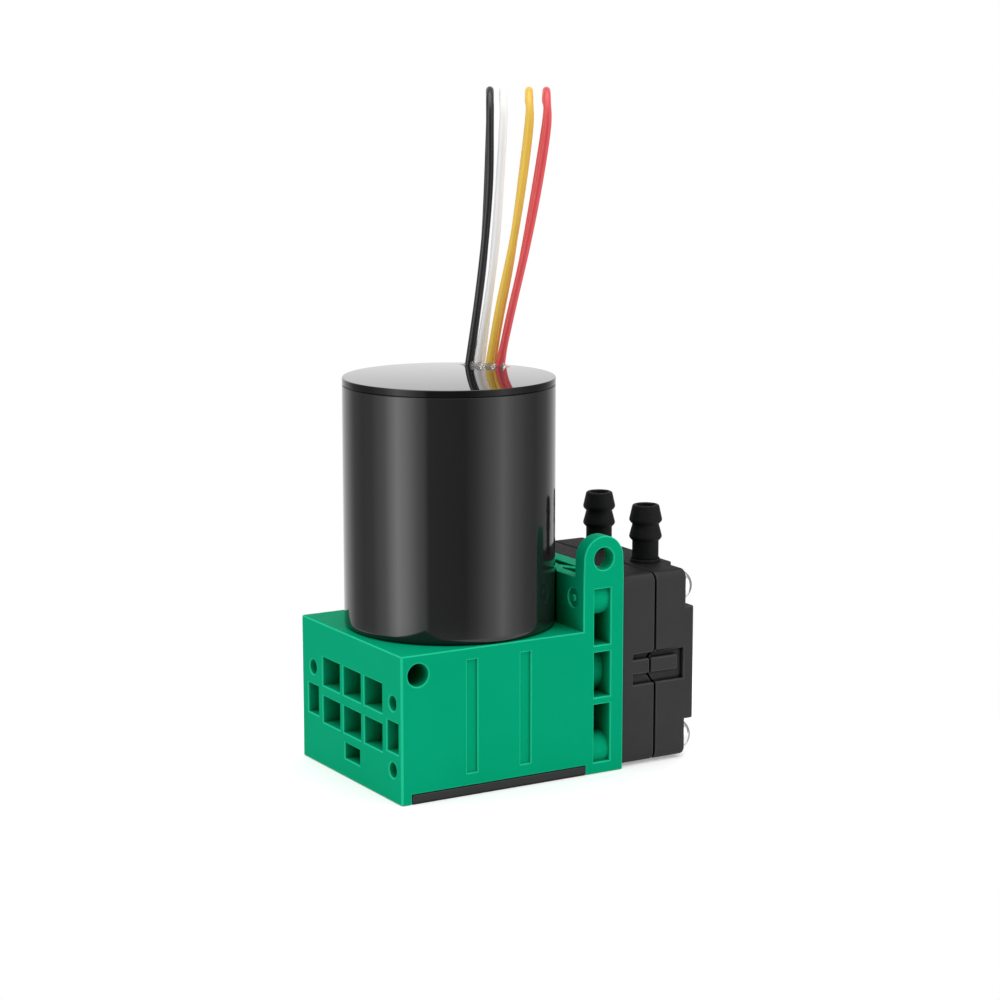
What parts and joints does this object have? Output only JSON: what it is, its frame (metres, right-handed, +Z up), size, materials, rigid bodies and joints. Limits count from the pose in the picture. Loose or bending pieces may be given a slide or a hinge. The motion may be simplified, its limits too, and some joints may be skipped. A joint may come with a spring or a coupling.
{
  "type": "vacuum pump",
  "caption": "Small diaphragm vacuum pump: upright cylindrical motor on a moulded mounting bracket, with a side pump head and upright hose barbs.",
  "frame": {"origin": "on the motor axis, on the underside of the bottom cover", "axes": "+Z up the motor, +X along the pump axis to the head, -Y the side with the two grooves that the picture shows"},
  "size_m": [0.0458, 0.0394, 0.0895],
  "materials": {
    "green_plastic": "satin",
    "dark_plastic": "fine matt grain",
    "black_can": "high gloss",
    "black_lid": "mirror gloss",
    "bright_screw": "bright plated",
    "steel": "satin",
    "aluminium": "satin",
    "copper": "enamelled wire",
    "board": "solder mask",
    "magnet": "sintered, matt",
    "brass": "turned",
    "rod_plastic": "satin",
    "rubber": "matt",
    "sealant": "glossy",
    "black_wire": "satin",
    "white_wire": "satin",
    "yellow_wire": "satin",
    "red_wire": "satin",
    "connector_plastic": "satin"
  },
  "bodies": {
    "housing": {"pump_bracket": "green_plastic", "bottom_cover": "dark_plastic", "motor_can": "black_can", "motor_lid": "black_lid", "motor_end_bell": "aluminium", "stator_core": "steel", "stator_windings": "copper", "driver_board": "board", "lower_bearing": "steel", "upper_bearing": "steel", "motor_screws": "bright_screw", "lead_seal": "sealant", "diaphragm": "rubber", "valve_plate": "dark_plastic", "valve_sheet": "rubber", "head_cover": "dark_plastic", "head_screws": "bright_screw", "black_lead": "black_wire", "white_lead": "white_wire", "yellow_lead": "yellow_wire", "red_lead": "red_wire", "lead_connector": "connector_plastic", "connector_contacts": "brass"},
    "crank": {"motor_shaft": "steel", "rotor_core": "steel", "rotor_magnet": "magnet", "crank_hub": "brass", "crank_set_screw": "steel", "bearing_inner_ring": "steel", "bearing_clip": "steel"},
    "rod": {"connecting_rod": "rod_plastic", "bearing_outer_ring": "steel", "diaphragm_clamp": "aluminium", "clamp_screw": "steel"},
    "intake_valve": {"intake_flap": "rubber"},
    "exhaust_valve": {"exhaust_flap": "rubber"}
  },
  "joints": [
    {"name": "crank_spin", "type": "hinge", "parent": "housing", "child": "crank", "pos_m": [0, 0, 0.0375], "axis": [0, 0, 1], "continuous": true, "deforming": ["diaphragm"]},
    {"name": "rod_pivot", "type": "hinge", "parent": "crank", "child": "rod", "pos_m": [-0.0012, 0, 0.01315], "axis": [0, 0, 1], "continuous": true},
    {"name": "intake_flap_hinge", "type": "hinge", "parent": "housing", "child": "intake_valve", "pos_m": [0.0241, -0.0077, 0.01315], "axis": [0, 0, 1], "range_deg": [0, 10], "stiffness_Nm_per_rad": 0.000002},
    {"name": "exhaust_flap_hinge", "type": "hinge", "parent": "housing", "child": "exhaust_valve", "pos_m": [0.0239, 0.0077, 0.01315], "axis": [0, 0, 1], "range_deg": [0, 20], "stiffness_Nm_per_rad": 0.000002}
  ],
  "couplings": [
    {"joint": "rod_pivot", "follows": "crank_spin", "ratio": -1}
  ]
}
